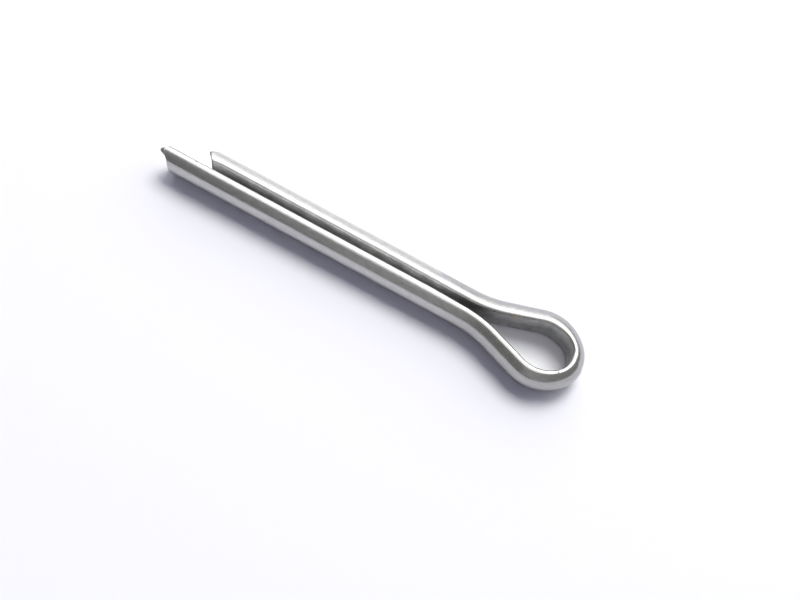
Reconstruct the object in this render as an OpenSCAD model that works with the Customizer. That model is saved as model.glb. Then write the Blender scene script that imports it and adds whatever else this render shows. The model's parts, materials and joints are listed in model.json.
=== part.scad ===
// Cotter pin: one half-round steel wire, folded into an eye with two legs.
// It lies flat, eye towards +X and leg tips towards -X, with Z = 0 under the wire.
// The origin is under the middle of its bounding box. Millimetres and degrees.

/* [Shank] */
// Diameter of the round shank that the two legs make together
shank_d = 3.7; // [3.2:0.05:4.2]
// Gap between the flat inner faces of the legs
leg_gap = 0.86; // [0.3:0.02:1.0]
// Rounding along both edges of the wire's flat face
edge_r = 0.12; // [0.06:0.01:0.2]
// Whole length, from the end of the eye to the tip of the long leg
overall_len = 43.1; // [30:0.1:80]
// How much further the long leg reaches than the short one
leg_step = 3.8; // [1:0.1:6]

/* [Eye] */
// Inner radius round the end of the eye
eye_end_r = 1.8; // [1.2:0.05:2.4]
// Inner radius along each side of the eye
eye_side_r = 3.15; // [2.6:0.05:4]
// Angle that the end curve covers on each side of the eye's middle line
eye_end_angle = 42.5; // [20:0.5:60]
// Angle between each straight flank of the eye and its middle line
flank_angle = 18.3; // [15:0.1:24]
// Turn of the whole eye off the line of the shank
eye_turn = 0.9; // [0:0.1:2]
// Radius of the inner face where a flank bends into its leg
neck_r = 11.6; // [6:0.2:13]

/* [Sheared tips] */
// Distance from the tip of the burr back to the sheared face
face_back = 0.42; // [0.2:0.02:0.8]
// Lean of the sheared face, its lower edge further back
face_lean = 5; // [0:0.5:10]
// Radius of the rolled-over edge on the round side of the wire
roll_r = 0.95; // [0.5:0.05:1]
// Inset of that rolled-over edge's centre from the flat face
roll_inset = 0.5; // [0.45:0.01:0.6]
// Distance of the long leg's burr from the flat face
long_burr_inset = 0.79; // [0.3:0.01:0.9]
// Distance of the short leg's burr from the flat face
short_burr_inset = 0.48; // [0.3:0.01:0.9]
// Width of each burr at its root
burr_w = 0.64; // [0.3:0.02:0.9]
// Depth of each burr at its root
burr_h = 0.4; // [0.2:0.02:0.6]
// Thickness left at each burr's tip
burr_edge = 0.06; // [0.03:0.01:0.12]

/* [Hidden] */
$fn = 96;

// the wire's section: a disc as wide as the shank, less the half gap on its flat side
shank_r = shank_d / 2;
half_gap = leg_gap / 2;
leg_t = shank_r - half_gap;
corner_x = edge_r;
corner_z = sqrt(pow(shank_r - edge_r, 2) - pow(half_gap + corner_x, 2));
corner_angle = atan2(corner_z, half_gap + corner_x);

// the eye, measured along its middle line from the point where its flanks would meet
side_y = (eye_end_r - eye_side_r) * sin(eye_end_angle);
side_x = (eye_side_r + side_y * cos(flank_angle)) / sin(flank_angle);
end_x = side_x + (eye_side_r - eye_end_r) * cos(eye_end_angle);
side_angle = 90 + flank_angle - eye_end_angle;
flank_reach = side_x * cos(flank_angle) + side_y * sin(flank_angle);

// each piece laps into the next, whose section is larger all round by the seam
lap = 0.06;
seam = 0.003;
// each rounded edge stands this proud of the two faces that it joins
proud = 0.002;
axis_z = corner_z + edge_r + proud + 2 * seam;

// bounding box, from that same point
eye_max_x = end_x * cos(eye_turn) + eye_end_r + leg_t + 2 * seam;
tip_reach = overall_len - eye_max_x;
mid_x = eye_max_x - overall_len / 2;
mid_y = -side_x * sin(eye_turn);

// Half-round section with its flat face on the Y axis and its round side towards +X,
// grown all round by the seam allowance of its piece
module wire_section(grow) {
    wedge = 2 * shank_r;
    intersection() {
        translate([-half_gap, 0]) circle(r = shank_r + grow);
        polygon([
            [0, 0],
            [corner_x, corner_z],
            [wedge * cos(corner_angle) - half_gap, wedge * sin(corner_angle)],
            [wedge, wedge],
            [wedge, -wedge],
            [wedge * cos(corner_angle) - half_gap, -wedge * sin(corner_angle)],
            [corner_x, -corner_z]
        ]);
    }
    translate([-grow, -corner_z]) square([corner_x + grow, 2 * corner_z]);
    for (side = [-1, 1])
        translate([corner_x, side * corner_z]) circle(r = edge_r + proud + grow);
}

// The wire is laid along a path. Each piece starts at the origin and runs towards +Y,
// with the flat face on its left, and the module's children follow on from its far end.

// Straight piece, lapped into the bends at both its ends
module wire_straight(len) {
    rotate([90, 0, 0])
        translate([0, 0, -len - lap])
            linear_extrude(height = len + 2 * lap) wire_section(0);
    translate([0, len, 0]) children();
}

// Bend towards the flat face, whose own radius is r, lapped into the bend before it
module wire_bend_in(r, angle) {
    lead = lap / r * 180 / PI;
    translate([-r, 0, 0]) {
        rotate_extrude(start = -lead, angle = angle + lead) translate([r, 0]) wire_section(seam);
        rotate([0, 0, angle]) translate([r, 0, 0]) children();
    }
}

// Bend towards the round side, with the flat face at radius r outside it
module wire_bend_out(r, angle) {
    translate([r, 0, 0]) {
        mirror([1, 0, 0]) rotate_extrude(angle = angle)
            translate([r, 0]) mirror([1, 0]) wire_section(seam);
        rotate([0, 0, -angle]) translate([-r, 0, 0]) children();
    }
}

// Everything that the shear leaves behind the sheared face, which stands on the X axis
module sheared_body(len) {
    roll_y = -roll_r;
    translate([0, 0, axis_z])
        rotate([-face_lean, 0, 0])
            translate([0, 0, -3 * shank_d])
                linear_extrude(height = 6 * shank_d) {
                    translate([-shank_d, -2 * len]) square([shank_d + roll_inset, 2 * len]);
                    translate([-shank_d, roll_y - 2 * len]) square([3 * shank_d, 2 * len]);
                    translate([roll_inset, roll_y]) circle(r = roll_r);
                }
}

// Pointed burr that the shear pulls forward off the top of the sheared face
module burr(inset) {
    root = -2 * face_back;
    top = 2 * shank_r;
    tip_z = sqrt(pow(shank_r, 2) - pow(half_gap + inset, 2)) - burr_edge;
    intersection() {
        translate([0, 0, -top])
            linear_extrude(height = 2 * top)
                polygon([[inset, 0], [inset - burr_w, root], [inset + burr_w, root]]);
        rotate([90, 0, 90])
            translate([0, 0, -top])
                linear_extrude(height = 2 * top)
                    polygon([[0, tip_z], [0, top], [root, top], [root, tip_z - 2 * burr_h]]);
    }
}

// Curved end of the eye
module eye_end() {
    rotate([0, 0, -eye_turn])
        translate([end_x, 0, 0])
            rotate_extrude(start = -eye_end_angle, angle = 2 * eye_end_angle)
                translate([eye_end_r, 0]) wire_section(2 * seam);
}

// Straight leg that ends in a sheared tip
module leg(len, burr_inset) {
    intersection() {
        wire_straight(len);
        translate([0, len, 0]) {
            translate([0, -face_back, 0]) sheared_body(len);
            burr(burr_inset);
        }
    }
}

// One side of the pin, from the curved end of the eye to the tip of its leg
module pin_side(turn, reach, burr_inset) {
    bend = flank_angle + turn;
    neck_len = neck_r * tan(bend / 2);
    flank_len = flank_reach - half_gap / sin(bend) - neck_len;
    leg_len = reach + half_gap / tan(bend) - neck_len;
    rotate([0, 0, turn])
        translate([end_x, 0, 0])
            rotate([0, 0, eye_end_angle])
                translate([eye_end_r, 0, 0])
                    wire_bend_in(eye_side_r, side_angle)
                        wire_straight(flank_len)
                            wire_bend_out(neck_r, bend)
                                leg(leg_len, burr_inset);
}

module pin() {
    color([0.72, 0.72, 0.71])
        translate([-mid_x, -mid_y, axis_z])
            union() {
                eye_end();
                pin_side(-eye_turn, tip_reach - leg_step, short_burr_inset);
                mirror([0, 1, 0]) pin_side(eye_turn, tip_reach, long_burr_inset);
            }
}

pin();
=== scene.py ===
# %% [markdown]
# # A cotter pin in bright drawn steel
# A cotter pin is one length of half-round wire. Its flat side faces inwards, it is folded back on
# itself into a teardrop eye, and its two legs end where a shear cut them off. This lesson sweeps a
# half-round section along that path, shapes the sheared tips, gives the wire the look of drawn
# steel, and lights it so that the metal has something to reflect.
#
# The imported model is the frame: its box and its shank mount give the wire's place and its main
# sizes, so the wire needs no fitting afterwards.

# %% Load the frame
import json
import math

import bmesh
import bpy
import numpy as np
from mathutils import Matrix, Vector

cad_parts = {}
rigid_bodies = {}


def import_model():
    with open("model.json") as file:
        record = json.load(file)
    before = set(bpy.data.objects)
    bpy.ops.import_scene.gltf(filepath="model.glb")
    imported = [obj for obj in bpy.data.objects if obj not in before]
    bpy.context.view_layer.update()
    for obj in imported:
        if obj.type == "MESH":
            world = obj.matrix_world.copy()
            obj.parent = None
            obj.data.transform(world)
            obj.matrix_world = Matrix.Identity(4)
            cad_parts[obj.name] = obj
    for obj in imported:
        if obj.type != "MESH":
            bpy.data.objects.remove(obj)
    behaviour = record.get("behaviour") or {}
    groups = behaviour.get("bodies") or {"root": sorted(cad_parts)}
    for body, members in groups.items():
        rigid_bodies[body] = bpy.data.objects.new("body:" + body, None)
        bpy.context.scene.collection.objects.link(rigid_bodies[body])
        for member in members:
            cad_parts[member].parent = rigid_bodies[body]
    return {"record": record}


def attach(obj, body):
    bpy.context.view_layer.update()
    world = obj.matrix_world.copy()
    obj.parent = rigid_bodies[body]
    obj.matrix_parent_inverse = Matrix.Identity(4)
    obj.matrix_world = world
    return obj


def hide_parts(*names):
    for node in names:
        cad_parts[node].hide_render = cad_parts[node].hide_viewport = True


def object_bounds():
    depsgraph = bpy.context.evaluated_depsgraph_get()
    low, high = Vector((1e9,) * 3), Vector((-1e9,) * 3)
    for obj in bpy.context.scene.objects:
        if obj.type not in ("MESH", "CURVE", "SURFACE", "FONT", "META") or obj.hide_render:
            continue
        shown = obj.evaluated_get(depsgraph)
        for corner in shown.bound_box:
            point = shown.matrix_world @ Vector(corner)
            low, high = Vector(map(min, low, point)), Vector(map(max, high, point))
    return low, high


# A new scene holds a cube, a lamp and a camera, and this one needs none of them
for leftover in list(bpy.data.objects):
    bpy.data.objects.remove(leftover)
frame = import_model()
cad_low, cad_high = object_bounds()
print("CAD box, mm:", [round(v * 1000, 3) for v in (*cad_low, *cad_high)])

# %% [markdown]
# ## Driving sizes
# Everything is in metres. The shank's radius and axis come from the mount, and the whole length
# from the box. The other sizes are the wire's own: they say how thick the wire is, how tightly each
# stretch of the eye bends, and how far the long leg is ahead of the short one.

# %% Sizes of the wire and its bends
MM = 0.001
shank_mount = next(m for m in frame["record"]["mounts"] if m["name"] == "shank")
shank_r = shank_mount["dims"]["r_mm"] * MM
_, axis_y, axis_z = shank_mount["pos_m"]

half_gap = 0.43 * MM
edge_r = 0.3 * MM
leg_step = 3.8 * MM
round_extra = 0.09 * MM
round_r = shank_r + round_extra
wire_t = shank_r - half_gap

eye_end_r = 1.8 * MM
eye_side_r = 3.15 * MM
neck_r = 11.6 * MM
eye_end_angle = math.radians(42.5)
flank_angle = math.radians(18.3)
eye_turn = math.radians(0.9)
print(f"wire {wire_t / MM:.2f} mm thick, shank {2 * shank_r / MM:.2f} mm across")

# %% [markdown]
# ## The path
# The path is the line of the wire's flat face, seen from above. A turtle draws it: it walks forward
# for a straight stretch and turns along an arc for a bend. It starts at the long leg's tip, goes up
# that leg, round the eye and back down the short leg. A turtle is a good way to draw bent wire,
# because a wire-bending machine works in the same steps.


# %% A turtle that draws straight stretches and bends
class Turtle:
    """Walks in the plane and leaves points behind it."""

    def __init__(self, x, y, heading):
        self.points = [np.array([x, y])]
        self.heading = heading

    def forward(self, length, step):
        """Walks straight ahead, in steps of about the given length."""
        start = self.points[-1]
        ahead = np.array([math.cos(self.heading), math.sin(self.heading)])
        count = max(1, round(length / step))
        for i in range(1, count + 1):
            self.points.append(start + ahead * length * i / count)

    def bend(self, radius, angle, step):
        """Turns left for a positive angle and right for a negative one."""
        side = math.copysign(1, angle)
        left = np.array([-math.sin(self.heading), math.cos(self.heading)])
        centre = self.points[-1] + left * side * radius
        count = max(4, round(abs(angle) * radius / step))
        for i in range(1, count + 1):
            heading = self.heading + angle * i / count
            out = np.array([math.sin(heading), -math.cos(heading)]) * side
            self.points.append(centre + out * radius)
        self.heading += angle


# %% [markdown]
# The lengths of the straight stretches follow from the bends. The flanks, carried on, would meet at
# one point on the shank's axis, so each flank is as long as the triangle between that point, the
# eye and its leg leaves it.

# %% Lay out the pin's path
side_y = (eye_end_r - eye_side_r) * math.sin(eye_end_angle)
side_x = (eye_side_r + side_y * math.cos(flank_angle)) / math.sin(flank_angle)
end_x = side_x + (eye_side_r - eye_end_r) * math.cos(eye_end_angle)
side_angle = math.pi / 2 + flank_angle - eye_end_angle
flank_reach = side_x * math.cos(flank_angle) + side_y * math.sin(flank_angle)
meet_x = cad_high.x - wire_t - eye_end_r - end_x * math.cos(eye_turn)
tip_reach = meet_x - cad_low.x


def flank_and_leg(bend, reach):
    """Straight lengths of a flank and of its leg, for the bend between them."""
    neck = neck_r * math.tan(bend / 2)
    flank = flank_reach - half_gap / math.sin(bend) - neck
    leg = reach + half_gap / math.tan(bend) - neck
    return flank, leg


STEP = 0.16 * MM
TIP_STEP = STEP / 4
TIP_REACH = 1.6 * MM
long_bend = flank_angle + eye_turn
short_bend = flank_angle - eye_turn
long_flank, long_leg = flank_and_leg(long_bend, tip_reach)
short_flank, short_leg = flank_and_leg(short_bend, tip_reach - leg_step)

turtle = Turtle(cad_low.x, axis_y - half_gap, 0.0)
turtle.forward(TIP_REACH, TIP_STEP)
turtle.forward(long_leg - TIP_REACH, STEP)
turtle.bend(neck_r, -long_bend, STEP)
turtle.forward(long_flank, STEP)
turtle.bend(eye_side_r, side_angle, STEP)
turtle.bend(eye_end_r, 2 * eye_end_angle, STEP)
turtle.bend(eye_side_r, side_angle, STEP)
turtle.forward(short_flank, STEP)
turtle.bend(neck_r, -short_bend, STEP)
turtle.forward(short_leg - TIP_REACH, STEP)
turtle.forward(TIP_REACH, TIP_STEP)
path = np.array(turtle.points)
straights_after_end = short_leg + short_flank
bends_after_end = short_bend * neck_r + side_angle * eye_side_r + eye_end_angle * eye_end_r
print("path points:", len(path), "and its end, mm:", np.round(path[-1] / MM, 3))

# %% [markdown]
# ## The section
# The wire is drawn through a half-round die. Its round side shares the shank's own axis, so that
# the two legs make one round pin, and both edges of its flat side are rounded a little. The section
# is one closed loop of points: the flat, a small arc, the large arc and the other small arc. X
# points away from the flat face, and Y runs along it.


# %% Points of the half-round section
def arc(cx, cy, r, start, end, count):
    """Points along an arc, from the start angle up to but without the end angle."""
    angles = np.linspace(start, end, count, endpoint=False)
    return np.stack([cx + r * np.cos(angles), cy + r * np.sin(angles)], 1)


corner_z = math.sqrt((round_r - edge_r) ** 2 - (half_gap + edge_r) ** 2)
corner_angle = math.atan2(corner_z, half_gap + edge_r)
FLAT_STEPS, CORNER_STEPS, ROUND_STEPS = 14, 10, 60
flat_heights = np.linspace(corner_z, -corner_z, FLAT_STEPS, endpoint=False)
section = np.concatenate([
    np.stack([np.zeros(FLAT_STEPS), flat_heights], 1),
    arc(edge_r, -corner_z, edge_r, math.pi, 2 * math.pi - corner_angle, CORNER_STEPS),
    arc(-half_gap, 0, round_r, -corner_angle, corner_angle, ROUND_STEPS),
    arc(edge_r, corner_z, edge_r, corner_angle, math.pi, CORNER_STEPS),
])
print("section points:", len(section))

# %% [markdown]
# ## Sweeping the section along the path
# Geometry Nodes' Curve to Mesh does the sweep. Both curves are objects made from the points above.
# The tree also stores two attributes on each point of the skin: how far along the wire it is, and
# where in the section. The steel needs them, because the marks that a die leaves follow the wire
# round the bends and not the X, Y or Z of the scene.


# %% Curve objects for the path and the section
def curve_object(name, points, closed):
    """A poly curve in the XY plane."""
    data = bpy.data.curves.new(name, "CURVE")
    data.dimensions = "3D"
    data.twist_mode = "Z_UP"
    spline = data.splines.new("POLY")
    spline.points.add(len(points) - 1)
    for point, (x, y) in zip(spline.points, points):
        point.co = (x, y, 0, 1)
    spline.use_cyclic_u = closed
    made = bpy.data.objects.new(name, data)
    bpy.context.scene.collection.objects.link(made)
    return made


section_curve = curve_object("section_curve", section, True)
wire = curve_object("wire_path", path, False)
print("curves:", section_curve.name, "and", wire.name)


# %% The sweeping tree
def sweep_tree(steel):
    """Curve in, skin out, with the skin's place along and across the wire stored on it."""
    tree = bpy.data.node_groups.new("Sweep the wire", "GeometryNodeTree")
    face = tree.interface
    face.new_socket("Path", in_out="INPUT", socket_type="NodeSocketGeometry")
    face.new_socket("Section", in_out="INPUT", socket_type="NodeSocketObject")
    face.new_socket("Height", in_out="INPUT", socket_type="NodeSocketFloat")
    face.new_socket("Skin", in_out="OUTPUT", socket_type="NodeSocketGeometry")
    nodes, link = tree.nodes, tree.links.new
    given = nodes.new("NodeGroupInput")
    out = nodes.new("NodeGroupOutput")

    section_info = nodes.new("GeometryNodeObjectInfo")
    link(given.outputs["Section"], section_info.inputs["Object"])
    place = nodes.new("GeometryNodeInputPosition")
    across = nodes.new("GeometryNodeStoreNamedAttribute")
    across.data_type = "FLOAT_VECTOR"
    across.inputs["Name"].default_value = "in_section"
    link(section_info.outputs["Geometry"], across.inputs["Geometry"])
    link(place.outputs["Position"], across.inputs["Value"])

    length = nodes.new("GeometryNodeSplineParameter")
    along = nodes.new("GeometryNodeStoreNamedAttribute")
    along.data_type = "FLOAT"
    along.inputs["Name"].default_value = "along"
    link(given.outputs["Path"], along.inputs["Geometry"])
    link(length.outputs["Length"], along.inputs["Value"])

    sweep = nodes.new("GeometryNodeCurveToMesh")
    link(along.outputs["Geometry"], sweep.inputs["Curve"])
    link(across.outputs["Geometry"], sweep.inputs["Profile Curve"])

    height = nodes.new("ShaderNodeCombineXYZ")
    link(given.outputs["Height"], height.inputs["Z"])
    lift = nodes.new("GeometryNodeSetPosition")
    link(sweep.outputs["Mesh"], lift.inputs["Geometry"])
    link(height.outputs["Vector"], lift.inputs["Offset"])

    real = nodes.new("GeometryNodeRealizeInstances")
    link(lift.outputs["Geometry"], real.inputs["Geometry"])
    finish = nodes.new("GeometryNodeSetMaterial")
    finish.inputs["Material"].default_value = steel
    link(real.outputs["Geometry"], finish.inputs["Geometry"])
    link(finish.outputs["Geometry"], out.inputs["Skin"])
    return tree


steel = bpy.data.materials.new("drawn_steel")
tree = sweep_tree(steel)
modifier = wire.modifiers.new("Sweep", "NODES")
modifier.node_group = tree
inputs = [item for item in tree.interface.items_tree if item.in_out == "INPUT"]
sockets = {item.name: item.identifier for item in inputs}
modifier[sockets["Section"]] = section_curve
modifier[sockets["Height"]] = axis_z
bpy.context.view_layer.update()
depsgraph = bpy.context.evaluated_depsgraph_get()
skin = bpy.data.meshes.new_from_object(wire.evaluated_get(depsgraph), depsgraph=depsgraph)
for spent in (wire, section_curve):
    bpy.data.objects.remove(spent)
print("swept skin:", len(skin.vertices), "points,", len(skin.polygons), "faces")


# %% Read the skin back as rings
def read_attribute(mesh, name, key, width):
    """A mesh attribute as an array with one row for each point."""
    values = np.zeros(len(mesh.vertices) * width)
    mesh.attributes[name].data.foreach_get(key, values)
    return values.reshape(-1, width)


ring_size = len(section)
rings = read_attribute(skin, "position", "vector", 3).reshape(-1, ring_size, 3)
along = read_attribute(skin, "along", "value", 1).reshape(-1, ring_size)
across = read_attribute(skin, "in_section", "vector", 3)[:, 0].reshape(-1, ring_size)
bpy.data.meshes.remove(skin)
wire_length = along.max()
end_along = wire_length - straights_after_end - bends_after_end
outline = np.stack([across[0], rings[0, :, 2] - axis_z], 1)
print(f"{len(rings)} rings of {ring_size} points, along {wire_length / MM:.1f} mm of wire")

# %% [markdown]
# ## The sheared tips
# A shear leaves three marks on a wire: a plain sheared face, an edge that rolls over where the
# blade came in, and a small pointed burr where the last of the metal tore. One rule describes all
# three. It says how far behind the burr's point the cut lies, at each place in the section: a line
# of stations round the outline gives the edge, and inside it the cut settles into a flat face. The
# skin near the tip is drawn back to that edge, which keeps it on the wire's own surface, and rings
# that shrink to a point close the face.


# %% How far back the cut lies
MIDDLE = np.array([0.6 * MM, 0.0])
EDGE_BLEND = 0.55


def smooth(values, start, end):
    """Rises softly from 0 at the start to 1 at the end."""
    share = np.clip((values - start) / (end - start), 0, 1)
    return share * share * (3 - 2 * share)


def outline_angle(places):
    """Direction of each section place from the middle: 0 outwards, 90 up, 180 at the flat."""
    out = places - MIDDLE
    return np.degrees(np.arctan2(out[:, 1], out[:, 0])) % 360


def setback(places, share, edge, face):
    """Distance behind the burr's point, for places at a share of the way to the outline."""
    angles, depths = zip(*edge)
    at_edge = np.interp(outline_angle(places), angles, np.array(depths) * MM, period=360)
    face_back, face_lean = face
    flat_face = face_back * MM + face_lean * (shank_r - places[:, 1])
    edge_share = smooth(share, EDGE_BLEND, 1)
    return flat_face * (1 - edge_share) + at_edge * edge_share


# Stations round the outline: the angle in degrees, and the setback there in millimetres
LONG_EDGE = [
    (0, 1.26), (19, 1.21), (36, 1.11), (51, 0.99), (61, 0.89), (68, 0.78), (75, 0.61), (79, 0.4),
    (82, 0.2), (84, 0.05), (88, 0.0), (92, 0.08), (95, 0.2), (98, 0.38), (106, 0.49), (112, 0.5),
    (125, 0.62), (180, 0.8), (235, 1.0), (270, 1.45), (315, 1.4),
]
SHORT_EDGE = [
    (0, 0.6), (45, 0.69), (56, 0.66), (62, 0.61), (68, 0.52), (73, 0.41), (78, 0.28), (81, 0.2),
    (85, 0.16), (88, 0.18), (91, 0.26), (95, 0.38), (99, 0.49), (103, 0.6), (108, 0.73), (113, 0.8),
    (125, 0.82), (180, 0.85), (235, 0.9), (270, 1.1), (315, 0.9),
]
# How far back the middle of each cut lies, in millimetres, and how much it leans under
LONG_FACE = (0.7, 0.36)
SHORT_FACE = (0.86, 0.06)
print("stations round the tips:", len(LONG_EDGE), "and", len(SHORT_EDGE))

# %% [markdown]
# The shear leaves torn metal on each burr. The burrs, and a narrow rim along the short leg's edge,
# also get painted shade, a dark colour where the edge turns away from the light. Every point of the
# skin therefore carries one value: nothing for drawn metal, a half for a plain sheared face, and
# more for painted shade. The steel reads that later.

# %% Where the metal is torn, and where shade is painted on the tips
PLAIN_CUT = 0.5
# The share of painted shade on a burr
BURR_SHADE = 0.58
RIM_WIDTH = 0.13 * MM
BURR_SOFT = 0.07 * MM
LONG_RIM = 0.0
SHORT_RIM = 0.85
# Painted shade on the short tip's fillet, with the rim's share
FILLET_SHADE = 0.2

# How far behind the burr's point the burr's painted shade reaches: the angle, and the reach in
# millimetres
LONG_BURR = [(57, 0), (58, 0.96), (100, 0.2), (110, 0)]
SHORT_BURR = [(72, 0), (76, 0.44), (92, 0.3), (106, 0)]
# How strong the rim's painted shade is round the outline: the angle, and the share
RIM_STRENGTH = [(76, 0.2), (80, 0.95), (92, 0.8), (108, 0.5), (240, 0.5), (260, 0.2)]


def shade_on_skin(behind, at_edge, burr, rim_share):
    """Painted shade on the burr and the rim, from how far behind the burr's point the skin and the
    edge of the cut lie.
    """
    angles = outline_angle(outline)
    rim = np.clip(1 - (behind - at_edge) / RIM_WIDTH, 0, 1) * np.interp(angles, *zip(*RIM_STRENGTH))
    burr_angles, burr_reaches = zip(*burr)
    reach = np.interp(angles, burr_angles, np.array(burr_reaches) * MM, period=360)
    torn = np.clip((reach - behind) / BURR_SOFT, 0, 1)
    return np.maximum(rim * rim_share, BURR_SHADE * torn)


burr_lengths = [max(reach for angle, reach in burr) for burr in (LONG_BURR, SHORT_BURR)]
print("the burrs reach back, mm:", burr_lengths)

# %% [markdown]
# Each tip gets a tiny fillet where the skin meets the cut, then rings that shrink towards the
# middle. They are plain rings of points like the swept ones, so that one function can join
# everything into a single closed mesh afterwards.

# %% Rings of the cut
FILLET = 0.06 * MM
FILLET_STEPS = 4
FACE_RINGS = 16

beside = np.roll(outline, -1, axis=0) - np.roll(outline, 1, axis=0)
outward = np.stack([beside[:, 1], -beside[:, 0]], 1) / np.linalg.norm(beside, axis=1, keepdims=True)
if np.sum(outward * (outline - MIDDLE)) < 0:
    outward = -outward
print("rings for each cut:", FILLET_STEPS + FACE_RINGS - 1)


def cut_places(edge, face):
    """Section place and setback of each ring, from the fillet to the middle of the cut."""
    at_edge = setback(outline, np.ones(ring_size), edge, face)
    for i in range(1, FILLET_STEPS + 1):
        turn = math.pi / 2 * i / FILLET_STEPS
        places = outline - outward * FILLET * (1 - math.cos(turn))
        yield places, at_edge + FILLET * (1 - math.sin(turn))
    inner = outline - outward * FILLET
    for i in range(1, FACE_RINGS):
        share = 1 - i / FACE_RINGS
        places = MIDDLE + (inner - MIDDLE) * share
        yield places, setback(places, np.full(ring_size, share), edge, face)


# %% Shape one tip
DRAW_REACH = 4.0 * MM


def shape_tip(near_rings, edge, face, burr, side, rim_share):
    """Draws the skin back. Returns the cut's rings and places, the painted shade on the skin, and
    how torn the cut is with its painted shade.
    """
    tip_x = near_rings[0, 0, 0]
    at_edge = setback(outline, np.ones(ring_size), edge, face) + FILLET
    share = np.clip(1 - (near_rings[:, :, 0] - tip_x) / DRAW_REACH, 0, 1)
    near_rings[:, :, 0] += share * at_edge
    skin_shade = shade_on_skin(near_rings[:, :, 0] - tip_x, at_edge, burr, rim_share)
    cut, places_on_cut = [], []
    for places, back in cut_places(edge, face):
        y = axis_y + side * (half_gap + places[:, 0])
        cut.append(np.stack([tip_x + back, y, axis_z + places[:, 1]], 1))
        places_on_cut.append(places)
    cut_torn_and_shade = np.full((len(cut), ring_size), PLAIN_CUT)
    # The fillet next to the rim gets painted shade too
    cut_torn_and_shade[:FILLET_STEPS] += FILLET_SHADE * rim_share
    return np.array(cut), np.array(places_on_cut), skin_shade, cut_torn_and_shade


half = len(rings) // 2
long_cut, long_places, long_skin_shade, long_cut_torn_and_shade = shape_tip(
    rings[:half], LONG_EDGE, LONG_FACE, LONG_BURR, -1, LONG_RIM)
short_cut, short_places, short_skin_shade, short_cut_torn_and_shade = shape_tip(
    rings[half:][::-1], SHORT_EDGE, SHORT_FACE, SHORT_BURR, 1, SHORT_RIM)
furthest = [cut[..., 0].min() / MM for cut in (long_cut, short_cut)]
print("furthest points of the long and the short tip, mm:", np.round(furthest, 3))

# %% [markdown]
# ## One row of rings
# All the rings stand in one row: the middle of the long leg's cut, its rings outwards, the skin from
# tip to tip, the other cut's rings inwards, and its middle. Each point keeps its place along the
# wire and in the section, and how torn it is and how much painted shade it has.

# %% Line up the rings
places_on_skin = np.stack([across, rings[:, :, 2] - axis_z], 2)
all_rings = np.concatenate([long_cut[::-1], rings, short_cut])
all_places = np.concatenate([long_places[::-1], places_on_skin, short_places])
at_start = np.zeros(long_cut.shape[:2])
at_end = np.full(short_cut.shape[:2], wire_length)
all_along = np.concatenate([at_start, along, at_end])
all_torn_and_shade = np.concatenate([long_cut_torn_and_shade[::-1], long_skin_shade, short_skin_shade[::-1], short_cut_torn_and_shade])
print(len(all_rings), "rings in the row")

# %% [markdown]
# ## What the bending and the shear did to the wire
# A real pin isn't one section all the way round. The wire is thinner where it was bent round the
# eye's end, the short leg was pressed in towards the long one, and the shear spread its tip a
# little. One rule makes all of this: each ring knows the direction from its flat face to its round
# side, and moves those two along it by small amounts of its own. The points between share the two
# moves. A sculpting tool could do it too, but then nobody could read afterwards by how much each
# part moved.

# %% Where each ring is on the bent wire
LEG_STARTS = (11 * MM, 16 * MM)

first_swept, past_swept = len(long_cut), len(long_cut) + len(rings)
round_middle = FLAT_STEPS + CORNER_STEPS + ROUND_STEPS // 2
flat_to_round = rings[:, round_middle, :2] - rings[:, FLAT_STEPS // 2, :2]
flat_to_round /= np.linalg.norm(flat_to_round, axis=1, keepdims=True)
sides = np.repeat([[0.0, -1.0]], len(all_rings), axis=0)
sides[first_swept:past_swept] = flat_to_round
sides[past_swept:] = (0.0, 1.0)

ring_along = all_along[:, 0]
off_end = np.abs(ring_along - end_along)
off_tip = np.minimum(ring_along, wire_length - ring_along)
on_long_side = ring_along < end_along
on_leg = smooth(off_end, *LEG_STARTS)
print(f"the eye's end is {end_along / MM:.1f} mm along the wire")

# %% Move the flat faces and the round sides
# Positive is into the gap for a flat face and away from it for a round side. The pair is for
# the eye and for the leg.
LONG_FLAT_IN = (-0.06 * MM, 0.025 * MM)
SHORT_FLAT_IN = 0.18 * MM
FLANK_IN = 0.06 * MM
TIP_IN = 0.1 * MM
TIP_SPREAD = 1.6 * MM
LONG_ROUND_OUT = 0.02 * MM
SHORT_ROUND_OUT = -0.05 * MM

# How far from the eye's end each change starts and is complete
LONG_SETTLES = (0.3 * MM, 1.8 * MM)
SHORT_SETTLES = (1.3 * MM, 3.8 * MM)
FLANK_STARTS = (4 * MM, 8 * MM)
FLANK_ENDS = (12 * MM, 22 * MM)

long_settled = smooth(off_end, *LONG_SETTLES)
short_settled = smooth(off_end, *SHORT_SETTLES)
flank = smooth(off_end, *FLANK_STARTS) * (1 - smooth(off_end, *FLANK_ENDS))
spread = np.clip(1 - off_tip / TIP_SPREAD, 0, 1) ** 2
long_flat_in = long_settled * (LONG_FLAT_IN[0] + (LONG_FLAT_IN[1] - LONG_FLAT_IN[0]) * on_leg)
short_flat_in = short_settled * (SHORT_FLAT_IN + FLANK_IN * flank + TIP_IN * spread)
flat_in = np.where(on_long_side, long_flat_in, short_flat_in)
side_out = np.where(on_long_side, LONG_ROUND_OUT, SHORT_ROUND_OUT)
round_out = side_out - round_extra * (1 - short_settled)

share_out = np.clip(all_places[:, :, 0] / (round_r - half_gap), 0, 1)
moved = round_out[:, None] * share_out - flat_in[:, None] * (1 - share_out)
all_rings[:, :, :2] += sides[:, None, :] * moved[:, :, None]
print("moves, mm:", np.round([moved.min() / MM, moved.max() / MM], 3))
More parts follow.
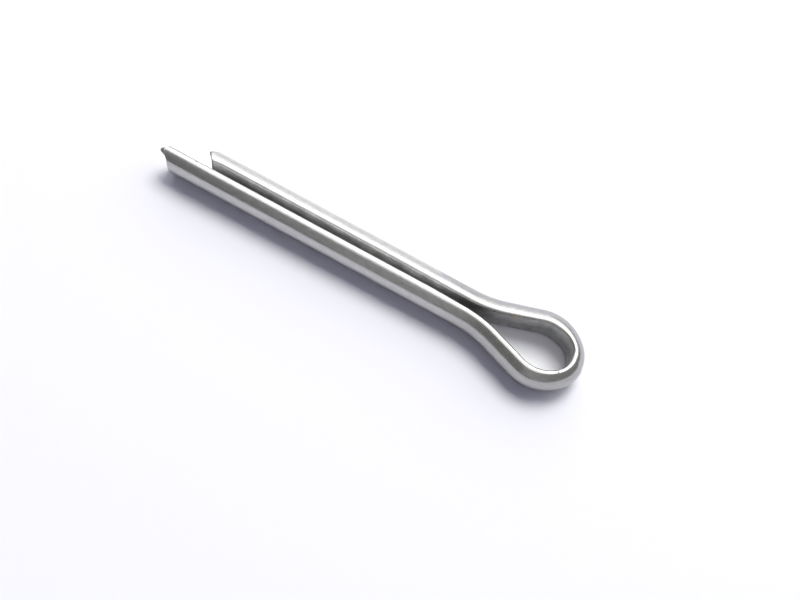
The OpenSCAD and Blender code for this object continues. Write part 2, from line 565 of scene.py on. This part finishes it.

# %% [markdown]
# The long leg's upper inner edge is darkened for its last few millimetres. The dark line is a mask
# from the place on the wire, and it goes into the same attribute as the torn metal.

# %% Darken the long leg's inner edge
EDGE_LINE = 0.8
EDGE_LINE_END = 5.4 * MM
EDGE_LINE_FADE = 1.4 * MM
EDGE_LINE_WIDTH = 0.25 * MM
EDGE_LINE_LOWEST = 1.3 * MM
EDGE_LINE_RISE = 0.15 * MM
near_flat = np.clip(1 - all_places[:, :, 0] / EDGE_LINE_WIDTH, 0, 1)
near_top = np.clip((all_places[:, :, 1] - EDGE_LINE_LOWEST) / EDGE_LINE_RISE, 0, 1)
near_tip = np.clip((EDGE_LINE_END - all_along) / EDGE_LINE_FADE, 0, 1)
all_torn_and_shade = np.maximum(all_torn_and_shade, EDGE_LINE * on_long_side[:, None] * near_flat * near_top * near_tip)
print("points with torn or darkened metal:", int((all_torn_and_shade > 0).sum()))

# %% [markdown]
# Deep between the legs the flat faces get painted shade, where the legs hide each other from the
# light, and it is strongest near the tips. Its strength is a short list of stations along a leg,
# counted from the eye's end.

# %% Painted shade between the legs
# Distance from the eye's end in millimetres, and the share of the light that the painted shade takes
GAP_SHADE = [(11, 0.2), (17, 0.3), (25, 0.36), (33, 0.52), (38, 0.58)]
gap_shade_from, gap_shade_shares = zip(*GAP_SHADE)
grime = np.interp(off_end, np.array(gap_shade_from) * MM, gap_shade_shares)
print("grime from", grime.min(), "to", round(grime.max(), 2))

# %% [markdown]
# ## One closed mesh
# Joining each ring to the next with four-sided faces gives a closed skin, and a fan of triangles
# closes each end at its middle. The normals are then made to agree, so that the faces all point
# outwards.

# %% Join the rings
ring_count = len(all_rings)
middles = [all_rings[0].mean(0), all_rings[-1].mean(0)]
points = np.concatenate([all_rings.reshape(-1, 3), middles])
first_middle, last_middle = len(points) - 2, len(points) - 1
last_ring = (ring_count - 1) * ring_size
faces = []
for here in range(ring_size):
    after = (here + 1) % ring_size
    for start in range(0, last_ring, ring_size):
        next_start = start + ring_size
        faces.append((start + here, start + after, next_start + after, next_start + here))
    faces.append((first_middle, after, here))
    faces.append((last_middle, last_ring + here, last_ring + after))

mesh = bpy.data.meshes.new("cotter_pin_wire")
mesh.from_pydata(points.tolist(), [], faces)
mesh.validate()
bm = bmesh.new()
bm.from_mesh(mesh)
bmesh.ops.recalc_face_normals(bm, faces=bm.faces)
bm.to_mesh(mesh)
bm.free()
mesh.polygons.foreach_set("use_smooth", [True] * len(mesh.polygons))
print(len(points), "points and", len(faces), "faces")


# %% Keep the places on the mesh
def store(name, kind, key, values):
    """Keeps one value for each point on the mesh."""
    layer = mesh.attributes.new(name, kind, "POINT")
    layer.data.foreach_set(key, values.ravel())


# The last two values of each are those of the two middles
grain = np.concatenate([all_along[..., None], all_places], 2).reshape(-1, 3)
grain_at_middles = [[0, *MIDDLE], [wire_length, *MIDDLE]]
store("grain", "FLOAT_VECTOR", "vector", np.concatenate([grain, grain_at_middles]))
store("leg", "FLOAT", "value", np.concatenate([np.repeat(on_leg, ring_size), [1.0, 1.0]]))
store("cut", "FLOAT", "value", np.concatenate([all_torn_and_shade.ravel(), [1.0, 1.0]]))
store("grime", "FLOAT", "value", np.concatenate([np.repeat(grime, ring_size), [0.0, 0.0]]))
pin = bpy.data.objects.new("cotter_pin_wire", mesh)
bpy.context.scene.collection.objects.link(pin)
pin.data.materials.append(steel)
print("the mesh carries", [layer.name for layer in mesh.attributes])

# %% [markdown]
# ## Drawn steel
# Drawn wire is bright, but it isn't a mirror. The die leaves fine lines along its length, so the
# grain is a noise that is stretched hard along the wire: it reads the stored place, not the scene's
# axes, and so it runs round the eye with the metal. It changes the colour a little and feeds a very
# shallow bump, and finer and coarser noises add to both and to the roughness. The sheared faces are
# torn and not drawn, so there the grain gives way to a coarse, duller surface.
#
# Most of these nodes are small sums and mixes. A few helpers make one node each and join its inputs
# to a socket or set them to a plain value, so that the material itself reads like a recipe.


# %% Helpers for shader nodes
def add(tree, kind, label, **values):
    """A node with the given input values, by input name."""
    made = tree.nodes.new(kind)
    made.label = label
    for name, value in values.items():
        made.inputs[name.replace("_", " ")].default_value = value
    return made


def feed(tree, socket, value):
    """Joins another node's socket to an input, or sets the input to a plain value."""
    if isinstance(value, bpy.types.NodeSocket):
        tree.links.new(value, socket)
    else:
        socket.default_value = value


def to_range(tree, value, low, high, label, start, end):
    """Takes values between start and end to values between low and high."""
    ends = {"From_Min": start, "From_Max": end, "To_Min": low, "To_Max": high}
    made = add(tree, "ShaderNodeMapRange", label, **ends)
    feed(tree, made.inputs["Value"], value)
    return made.outputs["Result"]


def mix(tree, kind, factor, a, b, label):
    """Mixes two values or colours."""
    made = add(tree, "ShaderNodeMix", label)
    made.data_type = kind
    first = {"FLOAT": 2, "RGBA": 6}[kind]
    for place, value in ((0, factor), (first, a), (first + 1, b)):
        feed(tree, made.inputs[place], value)
    return made.outputs[{"FLOAT": 0, "RGBA": 2}[kind]]


def maths(tree, operation, a, b, label):
    """One sum on two values."""
    made = add(tree, "ShaderNodeMath", label)
    made.operation = operation
    feed(tree, made.inputs[0], a)
    feed(tree, made.inputs[1], b)
    return made.outputs[0]


def vector_maths(tree, operation, a, b, label):
    """One sum on two vectors."""
    made = add(tree, "ShaderNodeVectorMath", label)
    made.operation = operation
    feed(tree, made.inputs[0], a)
    feed(tree, made.inputs["Scale" if operation == "SCALE" else 1], b)
    return made.outputs["Value" if operation == "DISTANCE" else 0]


def stored(tree, name, label):
    """What the mesh keeps under a name."""
    made = add(tree, "ShaderNodeAttribute", label)
    made.attribute_name = name
    return made


# %% [markdown]
# Six noises cover the marks, from the die's fine lines to the lumps of torn metal. Each is told how
# many lumps a metre it has along the wire, across it and up, so the die lines are long and thin,
# and the lumps of torn metal are about as long as they are wide.

# %% Marks on the metal
# Lumps a metre, and how much detail each noise has
LUMPS = {
    "die lines": ((220, 15000, 15000), 3.0),
    "broad bands": ((45, 2600, 2600), 3.0),
    "speckle": ((5200, 9000, 9000), 2.0),
    "torn metal": ((5000, 7000, 5000), 5.0),
    "rubbed patches": ((750, 900, 700), 3.0),
    "flecks": ((1700, 4200, 4200), 4.0),
}


def marks(tree, place):
    """The noises by name, each between 0 and 1."""
    made = {}
    for name, (lumps, detail) in LUMPS.items():
        noise = add(tree, "ShaderNodeTexNoise", name, Scale=1.0, Detail=detail, Roughness=0.6)
        scaled = vector_maths(tree, "MULTIPLY", place, lumps, name + " scale")
        feed(tree, noise.inputs["Vector"], scaled)
        made[name] = noise.outputs["Fac"]
    return made


print("noises:", ", ".join(LUMPS))

# %% [markdown]
# A used pin has a few small faults: dark pits, where the die tore out a grain, and one brown stain.
# Each is a soft spot round a place on the wire.

# %% Small faults
# Place along the wire, away from its flat and up, and the radius, all in millimetres
PITS = [((41.38, 0.31, 1.785), 0.11), ((52.64, 0.02, 1.56), 0.1), ((3.37, 0.19, 1.74), 0.1)]
STAIN = ((50.7, 0.0, 1.39), 0.5)
STAIN_SHARE = 0.22
SPOT_CORE = 0.6
PIT_COLOUR = (0.04, 0.04, 0.04, 1)
STAIN_COLOUR = (0.5, 0.33, 0.2, 1)


def near_spot(tree, place, spot):
    """One inside a small spot on the wire and nothing outside it, with a soft edge."""
    centre, radius = [v * MM for v in spot[0]], spot[1] * MM
    apart = vector_maths(tree, "DISTANCE", place, centre, "apart")
    return to_range(tree, apart, 1.0, 0.0, "spot", SPOT_CORE * radius, radius)


def with_faults(tree, place, metal):
    """The metal's colour with its pits and its stain."""
    for pit in PITS:
        metal = mix(tree, "RGBA", near_spot(tree, place, pit), metal, PIT_COLOUR, "pit")
    share = maths(tree, "MULTIPLY", near_spot(tree, place, STAIN), STAIN_SHARE, "stain share")
    return mix(tree, "RGBA", share, metal, STAIN_COLOUR, "stain")


print("small faults:", len(PITS), "pits and a stain")

# %% [markdown]
# The two faces of the wire don't look alike. The round side was polished by the die. The flat side
# is duller on the legs. Its colour is paler on the legs, which is painted light in the gap, and
# darker in the eye, which is painted shade on the eye's inner face; deep in the gap it is darker
# still, also painted shade. The round side is a little darker in the eye. So each colour is a pair,
# for the bent eye and for the straight legs, and the "leg" attribute slides between them.

# %% Colours and roughness of the steel
# The flat side's pair is painted shade in the eye and painted light on the legs
FLAT_COLOURS = (0.40, 0.40, 0.395, 1), (0.68, 0.675, 0.67, 1)
ROUND_COLOURS = (0.405, 0.40, 0.392, 1), (0.447, 0.447, 0.444, 1)
FLAT_ROUGHNESS = 0.4, 0.6
TORN_COLOUR = (0.2, 0.195, 0.19, 1)
# Painted shade on the burrs and the short leg's rim, also used for the dark line along the long
# leg's inner edge
DARK_EDGE_COLOUR = (0.05, 0.045, 0.045, 1)
TORN_ROUGHNESS = 0.6
DRAWN_DEPTH = 0.0055 * MM
TORN_DEPTH = 0.03 * MM

# The range that each tone or roughness runs over, and the part of its noise that it runs with
RUBBED_TONE = 0.8, 1.18
STREAK_TONE = 0.91, 1.09
FLECK_TONE = 0.93, 1.07
TONE_NOISE = 0.35, 0.65
ROUND_ROUGHNESS = 0.13, 0.24
ROUGHNESS_NOISE = 0.25, 0.75

# The share of the second noise where two are mixed
BANDS_IN_STREAKS = 0.5
SPECKLE_IN_ROUGHNESS = 0.5
SPECKLE_IN_LINES = 0.25
FLECKS_IN_BUMP = 0.5

# Where a flat face ends, how far off its middle line the painted shade in the gap reaches, and the
# value at which the painted shade on the edges is darkest
FLAT_ENDS = 0.03 * MM, 0.14 * MM
UNSHADED_FROM = 1.3 * MM
DARKEST = 0.8


def steel_colour(tree, place, noises, flat, leg, grime, cut):
    """Base colour: streaked, with painted shade deep in the gap, with the faults, and torn on the
    cuts, where the darkest values are painted shade.
    """
    parts = add(tree, "ShaderNodeSeparateXYZ", "along, across, up")
    feed(tree, parts.inputs[0], place)
    # Painted shade deep in the gap: the flat side darkens towards its middle line, by the share
    # stored for each place along the leg
    off_middle = maths(tree, "ABSOLUTE", parts.outputs["Z"], 0.0, "off the middle")
    out_of_gap = to_range(tree, off_middle, 0.0, 1.0, "out of the gap", 0.0, UNSHADED_FROM)
    deepest = maths(tree, "SUBTRACT", 1.0, grime, "deepest")
    unshaded = mix(tree, "FLOAT", out_of_gap, deepest, 1.0, "clean share")
    rubbed = to_range(tree, noises["rubbed patches"], *RUBBED_TONE, "rubbed tone", *TONE_NOISE)
    flat_tone = maths(tree, "MULTIPLY", unshaded, rubbed, "tone of the flat side")
    side_tone = mix(tree, "FLOAT", flat, 1.0, flat_tone, "side tone")
    lines, bands = noises["die lines"], noises["broad bands"]
    streaks = mix(tree, "FLOAT", BANDS_IN_STREAKS, lines, bands, "streaks")
    streaked = to_range(tree, streaks, *STREAK_TONE, "streak tone", *TONE_NOISE)
    flecked = to_range(tree, noises["flecks"], *FLECK_TONE, "fleck tone", *TONE_NOISE)
    drawn_tone = maths(tree, "MULTIPLY", streaked, flecked, "drawn tone")
    tone = maths(tree, "MULTIPLY", drawn_tone, side_tone, "tone")

    on_flat = mix(tree, "RGBA", leg, *FLAT_COLOURS, "flat colour")
    on_round = mix(tree, "RGBA", leg, *ROUND_COLOURS, "round colour")
    metal = mix(tree, "RGBA", flat, on_round, on_flat, "flat or round")
    toned = vector_maths(tree, "SCALE", metal, tone, "toned")

    # Values above a plain cut are painted shade on the burrs and the short leg's rim, and the dark
    # line along the long leg's inner edge
    dark = to_range(tree, cut, 0.0, 1.0, "dark torn metal", PLAIN_CUT, DARKEST)
    torn = mix(tree, "RGBA", dark, TORN_COLOUR, DARK_EDGE_COLOUR, "torn colour")
    torn_share = to_range(tree, cut, 0.0, 1.0, "torn", 0.0, PLAIN_CUT)
    return mix(tree, "RGBA", torn_share, with_faults(tree, place, toned), torn, "colour")


def steel_roughness(tree, noises, flat, leg, cut):
    """Smooth where drawn, duller on the flat side and rough on the cuts."""
    bands, speckle = noises["broad bands"], noises["speckle"]
    noise = mix(tree, "FLOAT", SPECKLE_IN_ROUGHNESS, bands, speckle, "roughness noise")
    on_round = to_range(tree, noise, *ROUND_ROUGHNESS, "round roughness", *ROUGHNESS_NOISE)
    on_flat = mix(tree, "FLOAT", leg, *FLAT_ROUGHNESS, "flat roughness")
    drawn = mix(tree, "FLOAT", flat, on_round, on_flat, "flat or round roughness")
    return mix(tree, "FLOAT", cut, drawn, TORN_ROUGHNESS, "roughness")


def steel_bump(tree, noises, cut):
    """Very shallow die lines, and deeper lumps on the cuts."""
    lines, speckle = noises["die lines"], noises["speckle"]
    speckled = mix(tree, "FLOAT", SPECKLE_IN_LINES, lines, speckle, "lines and speckle")
    drawn = mix(tree, "FLOAT", FLECKS_IN_BUMP, speckled, noises["flecks"], "drawn height")
    height = mix(tree, "FLOAT", cut, drawn, noises["torn metal"], "height")
    depth = mix(tree, "FLOAT", cut, DRAWN_DEPTH, TORN_DEPTH, "depth")
    bump = add(tree, "ShaderNodeBump", "marks", Strength=1.0, Distance=1.0)
    feed(tree, bump.inputs["Height"], maths(tree, "MULTIPLY", height, depth, "height in metres"))
    return bump.outputs["Normal"]


# %% Make the steel
def make_steel(material):
    """Bright drawn wire, with torn metal on the cuts."""
    material.use_nodes = True
    tree = material.node_tree
    shader = tree.nodes["Principled BSDF"]
    shader.inputs["Metallic"].default_value = 1.0
    place = stored(tree, "grain", "place on the wire").outputs["Vector"]
    cut = stored(tree, "cut", "torn metal").outputs["Fac"]
    leg = stored(tree, "leg", "straight legs").outputs["Fac"]
    # The share of painted shade deep in the gap
    grime = stored(tree, "grime", "grime in the gap").outputs["Fac"]
    noises = marks(tree, place)
    across = add(tree, "ShaderNodeSeparateXYZ", "away from the flat")
    feed(tree, across.inputs[0], place)
    flat = to_range(tree, across.outputs["Y"], 1.0, 0.0, "flat side", *FLAT_ENDS)
    colour = steel_colour(tree, place, noises, flat, leg, grime, cut)
    feed(tree, shader.inputs["Base Color"], colour)
    feed(tree, shader.inputs["Roughness"], steel_roughness(tree, noises, flat, leg, cut))
    feed(tree, shader.inputs["Normal"], steel_bump(tree, noises, cut))
    return len(tree.nodes)


print("steel nodes:", make_steel(steel))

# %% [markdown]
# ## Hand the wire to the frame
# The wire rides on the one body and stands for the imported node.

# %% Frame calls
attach(pin, "root")
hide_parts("pin")
print("stands for the packed pin:", pin.name)

# %% [markdown]
# ## The studio
# Metal shows only what surrounds it, so the studio is most of the look. The pin lies on a pale
# floor. A window-like lamp on the far side gives the soft shadow. A pale wall and ceiling behind
# and over the pin make the bright bands on the metal, and a dark screen on the camera's side makes
# the grey bands between them. They show in reflections only, so that they don't wash the shadow
# out. A lamp over a bare floor would light the pin as well, but it would leave most of the steel
# black.


# %% Floor
def matte(name, colour):
    """A plain matte material."""
    made = bpy.data.materials.new(name)
    made.use_nodes = True
    shader = made.node_tree.nodes["Principled BSDF"]
    shader.inputs["Base Color"].default_value = (*colour, 1)
    shader.inputs["Roughness"].default_value = 0.9
    shader.inputs["Specular IOR Level"].default_value = 0.2
    return made


def studio_piece(name, corners, faces, material):
    """A sheet of the studio, which isn't part of the pin."""
    data = bpy.data.meshes.new(name)
    data.from_pydata(corners, [], faces)
    data.materials.append(material)
    made = bpy.data.objects.new(name, data)
    bpy.context.scene.collection.objects.link(made)
    return made


def level_sheet(name, middle, half_x, half_y, material):
    """A level sheet from its middle and half of each side."""
    signs = (-1, -1), (1, -1), (1, 1), (-1, 1)
    corners = [(middle[0] + x * half_x, middle[1] + y * half_y, middle[2]) for x, y in signs]
    return studio_piece(name, corners, [(0, 1, 2, 3)], material)


FLOOR_HALF = 3.0
floor_paint = matte("pale_floor", (0.9, 0.9, 0.9))
level_sheet("floor", (0, 0, 0), FLOOR_HALF, FLOOR_HALF, floor_paint)
print("floor", 2 * FLOOR_HALF, "m square")

# %% [markdown]
# Places in the studio are easiest to think of as a compass direction and a height above the
# horizon, as seen from the pin. The window is small and close, for a shadow with a dark core and a
# soft edge. The sky is large and far, and only fills.


# %% Lamps
def toward(azimuth, elevation):
    """Unit vector to a place in the room. Azimuth 0 is the far side and 90 the right."""
    turn, rise = math.radians(azimuth), math.radians(elevation)
    flat = math.cos(rise)
    return Vector((math.sin(turn) * flat, math.cos(turn) * flat, math.sin(rise)))


def lamp(name, azimuth, elevation, distance, size, radiance, colour=(1, 1, 1)):
    """A rectangular lamp that faces the pin."""
    data = bpy.data.lights.new(name, "AREA")
    data.shape = "RECTANGLE"
    data.size, data.size_y = size
    data.energy = radiance * math.pi * size[0] * size[1]
    data.color = colour
    made = bpy.data.objects.new(name, data)
    away = toward(azimuth, elevation)
    made.location = away * distance
    made.rotation_mode = "QUATERNION"
    made.rotation_quaternion = away.to_track_quat("Z", "Y")
    made.visible_camera = False
    bpy.context.scene.collection.objects.link(made)
    print(f"{name}: {data.energy:.2f} W")


lamp("window", azimuth=1, elevation=62.5, distance=0.6, size=(0.24, 0.28), radiance=11.2)
lamp("far_sky", azimuth=5, elevation=42, distance=1.6, size=(3.0, 1.7), radiance=1.6,
     colour=(0.95, 0.955, 1.0))

# %% [markdown]
# What the steel reflects glows by itself, so its brightness is set once and doesn't depend on the
# lamps. The glow can grow from the floor upwards, because the bands on the wire have one soft side,
# and it can change from left to right, because a real room isn't even. Each such change is a span:
# where it starts and ends, and the shares of the light at those places.


# %% Cloths that glow
def glow(name, low, high, reach, spans):
    """Light that runs from low at the floor to high at the reach, times the shares of each span."""
    made = bpy.data.materials.new(name)
    made.use_nodes = True
    tree = made.node_tree
    tree.nodes.remove(tree.nodes["Principled BSDF"])
    place = add(tree, "ShaderNodeTexCoord", "place in the room")
    parts = add(tree, "ShaderNodeSeparateXYZ", "right, far, up")
    feed(tree, parts.inputs[0], place.outputs["Object"])
    strength = to_range(tree, parts.outputs["Z"], low, high, "height", 0.0, reach)
    for start, end, left, right in spans:
        share = to_range(tree, parts.outputs["X"], left, right, "left to right", start, end)
        strength = maths(tree, "MULTIPLY", strength, share, "strength")
    light = add(tree, "ShaderNodeEmission", "glow")
    feed(tree, light.inputs["Strength"], strength)
    feed(tree, tree.nodes["Material Output"].inputs["Surface"], light.outputs[0])
    return made


def reflections_only(piece):
    """Hides a studio piece from everything but reflections."""
    piece.visible_camera = False
    piece.visible_diffuse = False
    piece.visible_shadow = False


# %% [markdown]
# Two of the pieces are upright screens that stand in a ring round the pin. The dark one is low on
# the far side, rises on the right, stays high round the camera's side and ends on the left. It
# makes the grey bands where the wire faces the camera's side, and leaves the sides that face away
# from it bright. The other is a pale wall on the far side. Both glow more towards their tops.


# %% Screens that only reflections see
SCREEN_STEPS = 48


def screen(name, radius, top, start, stop, material):
    """An upright screen round the pin, from one azimuth to another."""
    corners = []
    for i in range(SCREEN_STEPS + 1):
        azimuth = start + (stop - start) * i / SCREEN_STEPS
        foot = toward(azimuth, 0) * radius
        corners += [(foot.x, foot.y, 0.0), (foot.x, foot.y, top(azimuth))]
    faces = [(2 * i, 2 * i + 1, 2 * i + 3, 2 * i + 2) for i in range(SCREEN_STEPS)]
    reflections_only(studio_piece(name, corners, faces, material))


DARK_R = 0.6
WALL_R = 1.6
WALL_TOP = 1.6
# Height of the dark screen's top in degrees, and the azimuths between which it rises
DARK_LOWEST, DARK_HIGHEST = 8, 52.5
DARK_RISES = (30, 110)


def dark_top(azimuth):
    """Top of the dark screen: low on the far side, and high from the right to the left."""
    height = DARK_LOWEST + (DARK_HIGHEST - DARK_LOWEST) * smooth(azimuth, *DARK_RISES)
    return DARK_R * math.tan(math.radians(height))


def wall_top(azimuth):
    """Top of the pale wall, the same all along it."""
    return WALL_TOP


# Spans: where each starts and ends along X, and the shares of the light there
DARK_SPANS = [(-0.13, -0.05, 0.62, 1.0), (0.28, 0.45, 1.0, 0.8)]
WALL_SPANS = [(0.2, 1.2, 1.0, 0.7)]
dark_cloth = glow("dark_cloth", low=0.375, high=0.5, reach=0.5, spans=DARK_SPANS)
bright_cloth = glow("bright_cloth", low=1.42, high=2.3, reach=0.68, spans=WALL_SPANS)
screen("dark_screen", DARK_R, dark_top, start=0, stop=275, material=dark_cloth)
screen("bright_wall", WALL_R, wall_top, start=-100, stop=95, material=bright_cloth)
print("tops of the dark screen, m:", round(dark_top(0), 3), "to", round(dark_top(180), 3))

# %% [markdown]
# The other two are level sheets with the same light all over, apart from their spans. A ceiling
# hangs over the pin and reaches past the wall, so that the bright bands go on over the top of the
# wire. A pale card lies on the floor on the far side, a hair above it, and puts a soft pale band
# along the outer side of the short leg.

# %% Ceiling and card that only reflections see
CEILING_MIDDLE = (0, 0.62, 0.9)
CEILING_HALF = (2.0, 1.215)
CARD_MIDDLE = (-0.144, 0.106, 0.2 * MM)
CARD_HALF = (0.15, 0.1018)
CEILING_SPANS = [(0.1, 0.8, 1.0, 0.65)]
CARD_SPANS = [(-0.13, -0.05, 0.92, 1.0)]
ceiling_cloth = glow("ceiling_cloth", low=2.3, high=2.3, reach=1.0, spans=CEILING_SPANS)
card = glow("card", low=1.38, high=1.38, reach=1.0, spans=CARD_SPANS)
reflections_only(level_sheet("ceiling", CEILING_MIDDLE, *CEILING_HALF, ceiling_cloth))
reflections_only(level_sheet("far_card", CARD_MIDDLE, *CARD_HALF, card))

# %% [markdown]
# ## The world
# The world is the rest of the room. It fills the pin's shadow dimly and a little blue, shows in the
# metal as a bright room, and is plain white to the camera. Light Path tells the kinds of ray apart.

# %% World
SHADOW_FILL = (0.17, 0.168, 0.245, 1)
ROOM_IN_METAL = (1.6, 1.6, 1.6, 1)
WHITE = (1, 1, 1, 1)
world = bpy.data.worlds.new("studio")
bpy.context.scene.world = world
world.use_nodes = True
tree = world.node_tree
rays = add(tree, "ShaderNodeLightPath", "kind of ray").outputs
through_glass = rays["Is Transmission Ray"]
mirrored = maths(tree, "MAXIMUM", rays["Is Glossy Ray"], through_glass, "in metal or glass")
room = mix(tree, "RGBA", mirrored, SHADOW_FILL, ROOM_IN_METAL, "room")
seen = mix(tree, "RGBA", rays["Is Camera Ray"], room, WHITE, "seen")
feed(tree, tree.nodes["Background"].inputs["Color"], seen)
print("world nodes:", len(tree.nodes))

# %% [markdown]
# ## The camera
# The camera looks down on the pin from the near side, a little to the right, and it is rolled so
# that the pin crosses the picture from the upper left to the lower right. A fairly long lens, over
# three pin lengths away, keeps the legs nearly parallel.

# %% Camera
TARGET = Vector((3.95, -1.57, 0)) * MM
DISTANCE = 137.7 * MM
ELEVATION = math.radians(69.38)
AZIMUTH = math.radians(-7.07)
ROLL = math.radians(21.77)

look = Vector((
    math.sin(AZIMUTH) * math.cos(ELEVATION),
    math.cos(AZIMUTH) * math.cos(ELEVATION),
    -math.sin(ELEVATION),
))
level = Vector((math.cos(AZIMUTH), -math.sin(AZIMUTH), 0))
upright = level.cross(look)
camera_x = level * math.cos(ROLL) + upright * math.sin(ROLL)
camera_y = upright * math.cos(ROLL) - level * math.sin(ROLL)
camera_data = bpy.data.cameras.new("camera")
camera_data.lens = 67.5
camera_data.sensor_width = 36.0
camera_data.clip_start = 1 * MM
camera = bpy.data.objects.new("camera", camera_data)
camera.matrix_world = Matrix((
    (camera_x.x, camera_y.x, -look.x, 0),
    (camera_x.y, camera_y.y, -look.y, 0),
    (camera_x.z, camera_y.z, -look.z, 0),
    (0, 0, 0, 1),
))
camera.location = TARGET - look * DISTANCE
bpy.context.scene.collection.objects.link(camera)
bpy.context.scene.camera = camera
bpy.context.scene.view_settings.view_transform = "Standard"
print("camera at, mm:", [round(v / MM, 1) for v in camera.location])
